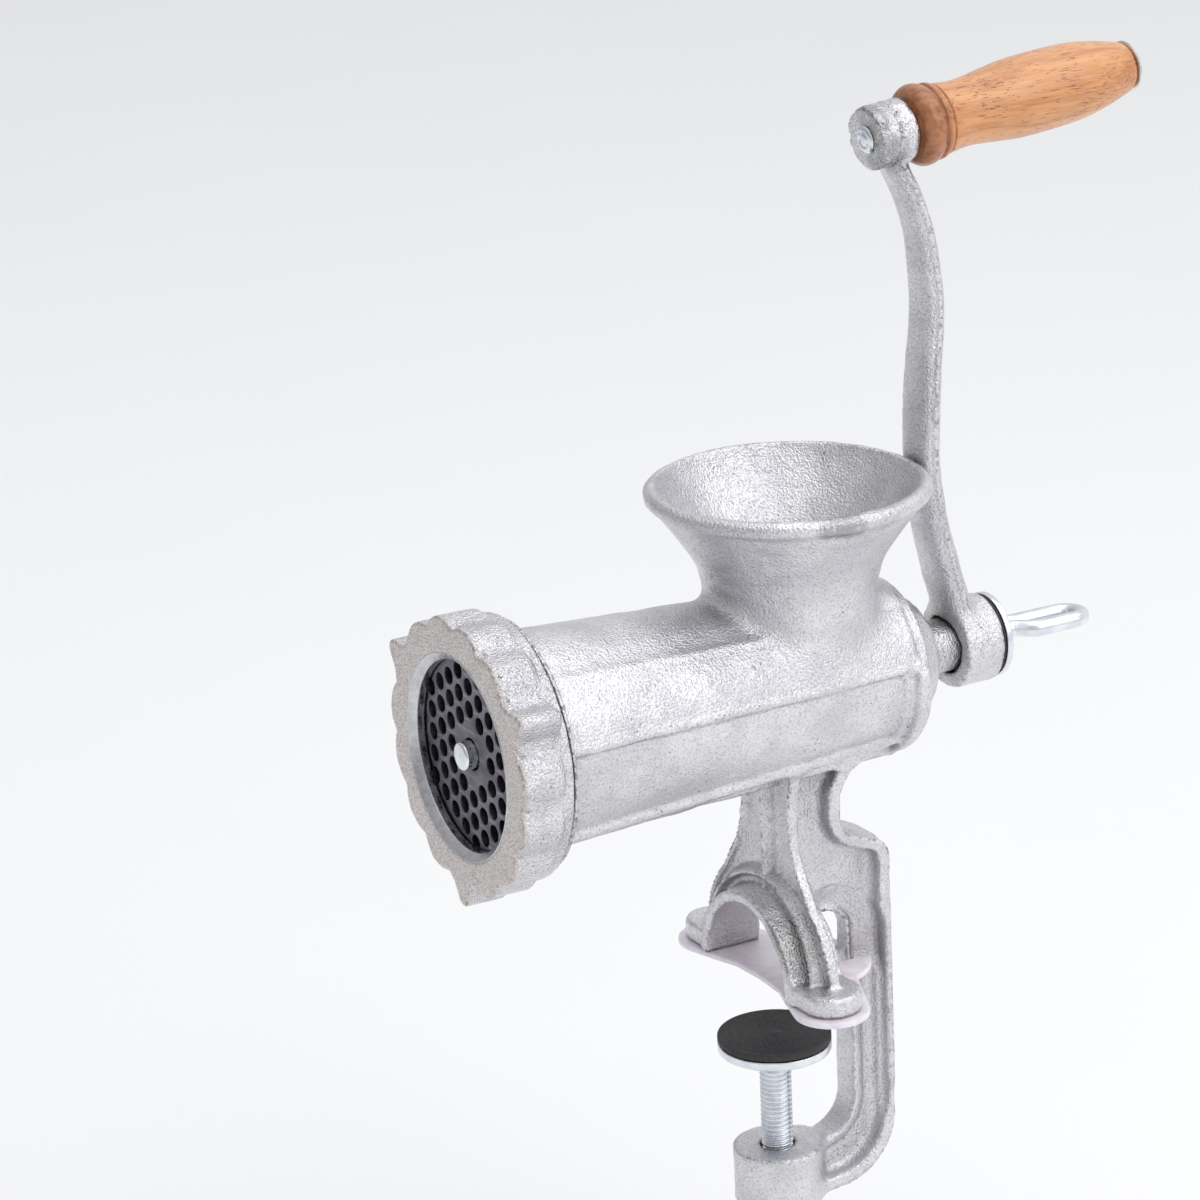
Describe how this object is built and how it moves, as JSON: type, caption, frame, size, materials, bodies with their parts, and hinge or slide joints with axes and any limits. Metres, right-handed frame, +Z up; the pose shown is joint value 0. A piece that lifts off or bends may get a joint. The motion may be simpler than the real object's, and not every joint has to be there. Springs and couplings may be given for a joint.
{
  "type": "hand crank meat grinder",
  "caption": "Hand crank meat grinder with a cast hopper and barrel, ring nut, grinding plate, knife, auger, wooden crank grip and table clamp.",
  "frame": {"origin": "on the plane where the foot pad rests on the table, midway between the two feet", "axes": "+Z up, -Y out of the grinding mouth, +Y towards the crank, +X to the right of someone who faces along +Y"},
  "size_m": [0.0886, 0.2315, 0.4044],
  "materials": {
    "tinned_casting": "hot tinned, sandy cast surface, satin",
    "machined_steel": "turned, satin",
    "zinc_steel": "bright zinc plate",
    "dark_steel": "blackened carbon steel, satin",
    "wood": "clear lacquered beech",
    "milky_plastic": "milky translucent",
    "white_plastic": "moulded",
    "black_rubber": "matt"
  },
  "bodies": {
    "root": {"housing": "tinned_casting", "plate_key": "machined_steel", "rear_bush": "machined_steel", "foot_pad": "milky_plastic"},
    "rotor": {"auger": "tinned_casting", "auger_pin": "machined_steel", "auger_washer": "white_plastic", "knife": "machined_steel", "crank_arm": "tinned_casting", "grip_spindle": "zinc_steel", "grip_washer": "zinc_steel"},
    "grip": {"wooden_grip": "wood"},
    "plate": {"grinding_plate": "dark_steel"},
    "nut": {"ring_nut": "tinned_casting"},
    "clamp_foot": {"clamp_disc": "zinc_steel", "clamp_disc_pad": "black_rubber"},
    "clamp_screw": {"clamp_screw": "zinc_steel"},
    "crank_washers": {"crank_washer": "zinc_steel", "crank_gasket": "black_rubber"},
    "eye_screw": {"crank_eye_screw": "zinc_steel"}
  },
  "joints": [
    {"name": "crank_spin", "type": "hinge", "parent": "root", "child": "rotor", "pos_m": [0, 0, 0.0913], "axis": [0, 1, 0], "continuous": true},
    {"name": "grip_spin", "type": "hinge", "parent": "rotor", "child": "grip", "pos_m": [0, 0.0453, 0.2477], "axis": [0, 0.9954, 0.0958], "continuous": true},
    {"name": "plate_travel", "type": "slide", "parent": "root", "child": "plate", "axis": [0, -1, 0], "range_m": [0, 0.011]},
    {"name": "nut_turn", "type": "hinge", "parent": "plate", "child": "nut", "pos_m": [0, 0, 0.0913], "axis": [0, -1, 0], "range_deg": [0, 1260]},
    {"name": "clamp_travel", "type": "slide", "parent": "root", "child": "clamp_foot", "axis": [0, 0, 1], "range_m": [-0.0226, 0.0176]},
    {"name": "clamp_turn", "type": "hinge", "parent": "clamp_foot", "child": "clamp_screw", "pos_m": [0, 0, -0.05], "axis": [0, 0, 1], "range_deg": [-5400, 4200]},
    {"name": "washer_travel", "type": "slide", "parent": "rotor", "child": "crank_washers", "axis": [0, 1, 0], "range_m": [0, 0.0105]},
    {"name": "eye_screw_turn", "type": "hinge", "parent": "crank_washers", "child": "eye_screw", "pos_m": [0, 0.08, 0.0913], "axis": [0, 1, 0], "range_deg": [0, 3600]}
  ],
  "couplings": [
    {"joint": "plate_travel", "follows": "nut_turn", "m_per_rad": 0.00047746},
    {"joint": "clamp_travel", "follows": "clamp_turn", "m_per_rad": 0.00023873},
    {"joint": "washer_travel", "follows": "eye_screw_turn", "m_per_rad": 0.00015915}
  ]
}
